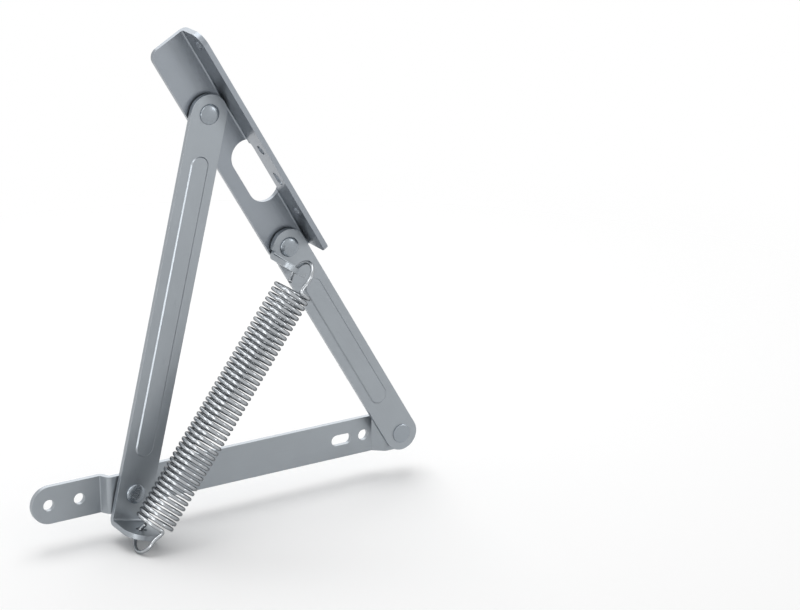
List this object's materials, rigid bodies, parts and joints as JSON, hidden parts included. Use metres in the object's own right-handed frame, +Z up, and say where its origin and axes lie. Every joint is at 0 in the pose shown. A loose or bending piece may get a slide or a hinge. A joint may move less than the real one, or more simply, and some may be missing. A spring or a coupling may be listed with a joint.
{
  "type": "bed lift mechanism",
  "caption": "Spring-assisted bed lift linkage: a base bar, a long and a short arm and an angle bracket, riveted together, with an extension spring between foot and lug.",
  "frame": {"origin": "middle of the two bolt holes at the left end of the base bar, on its mounting face", "axes": "+X along the base bar, towards its far pivot; +Y out of the mounting face, into the bed frame; +Z up"},
  "size_m": [0.33, 0.0621, 0.3863],
  "materials": {
    "zinc_plate": "satin",
    "zinc_rivet": "satin",
    "washer_steel": "satin",
    "spring_wire": "gloss"
  },
  "bodies": {
    "base": {"base_bar": "zinc_plate", "base_left_rivet": "zinc_rivet", "base_right_rivet": "zinc_rivet", "base_left_washer": "washer_steel", "base_right_washer": "washer_steel"},
    "long_arm": {"long_arm": "zinc_plate", "bracket_upper_rivet": "zinc_rivet", "bracket_upper_washer": "washer_steel"},
    "short_arm": {"short_arm": "zinc_plate"},
    "upper_bracket": {"upper_bracket": "zinc_plate", "bracket_lower_rivet": "zinc_rivet", "bracket_lower_washer": "washer_steel", "bracket_upper_rivet_tail": "zinc_rivet"},
    "spring_lower": {"lift_spring": "spring_wire"},
    "spring_upper": {"spring_top_hook": "spring_wire"}
  },
  "joints": [
    {"name": "long_arm_fold", "type": "hinge", "parent": "base", "child": "long_arm", "pos_m": [0.053, -0.0147, 0], "axis": [0, 1, 0], "range_deg": [0, 55.7], "stiffness_Nm_per_rad": 27.8, "springref_deg": -4.3},
    {"name": "short_arm_fold", "type": "hinge", "parent": "base", "child": "short_arm", "pos_m": [0.2885, -0.0147, 0], "axis": [0, 1, 0], "range_deg": [0, 88.95]},
    {"name": "bracket_turn", "type": "hinge", "parent": "short_arm", "child": "upper_bracket", "pos_m": [0.18871, -0.0147, 0.17333], "axis": [0, 1, 0], "range_deg": [-149, 0]},
    {"name": "spring_swing", "type": "hinge", "parent": "long_arm", "child": "spring_lower", "pos_m": [0.0459, -0.047, -0.02297], "axis": [0, 1, 0], "range_deg": [-18.2, 0]},
    {"name": "spring_stretch", "type": "slide", "parent": "spring_lower", "child": "spring_upper", "axis": [0.5978, 0, 0.8016], "range_m": [0, 0.2045], "deforming": ["lift_spring", "spring_top_hook"]}
  ],
  "couplings": [
    {"joint": "short_arm_fold", "follows": "long_arm_fold", "ratio": 1.5961},
    {"joint": "bracket_turn", "follows": "long_arm_fold", "ratio": -2.6743},
    {"joint": "spring_swing", "follows": "long_arm_fold", "ratio": -0.32474},
    {"joint": "spring_stretch", "follows": "long_arm_fold", "m_per_rad": 0.21019}
  ]
}
